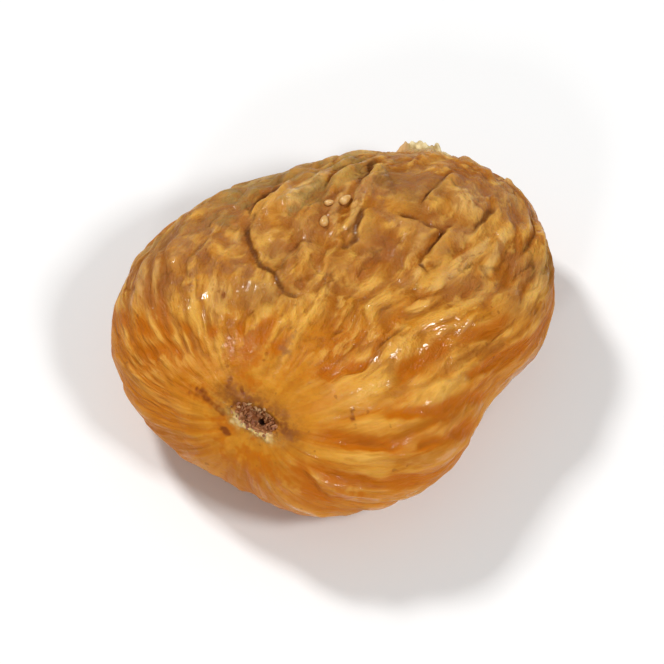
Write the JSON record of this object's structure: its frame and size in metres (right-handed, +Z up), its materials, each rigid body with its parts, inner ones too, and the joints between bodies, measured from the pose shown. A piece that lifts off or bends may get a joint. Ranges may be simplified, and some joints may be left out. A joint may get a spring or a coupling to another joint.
{
  "type": "dried fig",
  "caption": "Whole dried fig, flattened and ribbed from its puckered eye to the remnant of its stem, lying on its flatter face.",
  "frame": {"origin": "on the surface that the fig lies on, under the middle of its box", "axes": "+Z up out of the upper face, +X along the fig's longest width, +Y from the eye's side towards the stem"},
  "size_m": [0.0499, 0.0483, 0.019],
  "materials": {
    "fig_skin": "tacky semi-gloss dried fruit skin, amber with brown valleys"
  },
  "bodies": {
    "root": {"dried_fig": "fig_skin"}
  },
  "joints": []
}
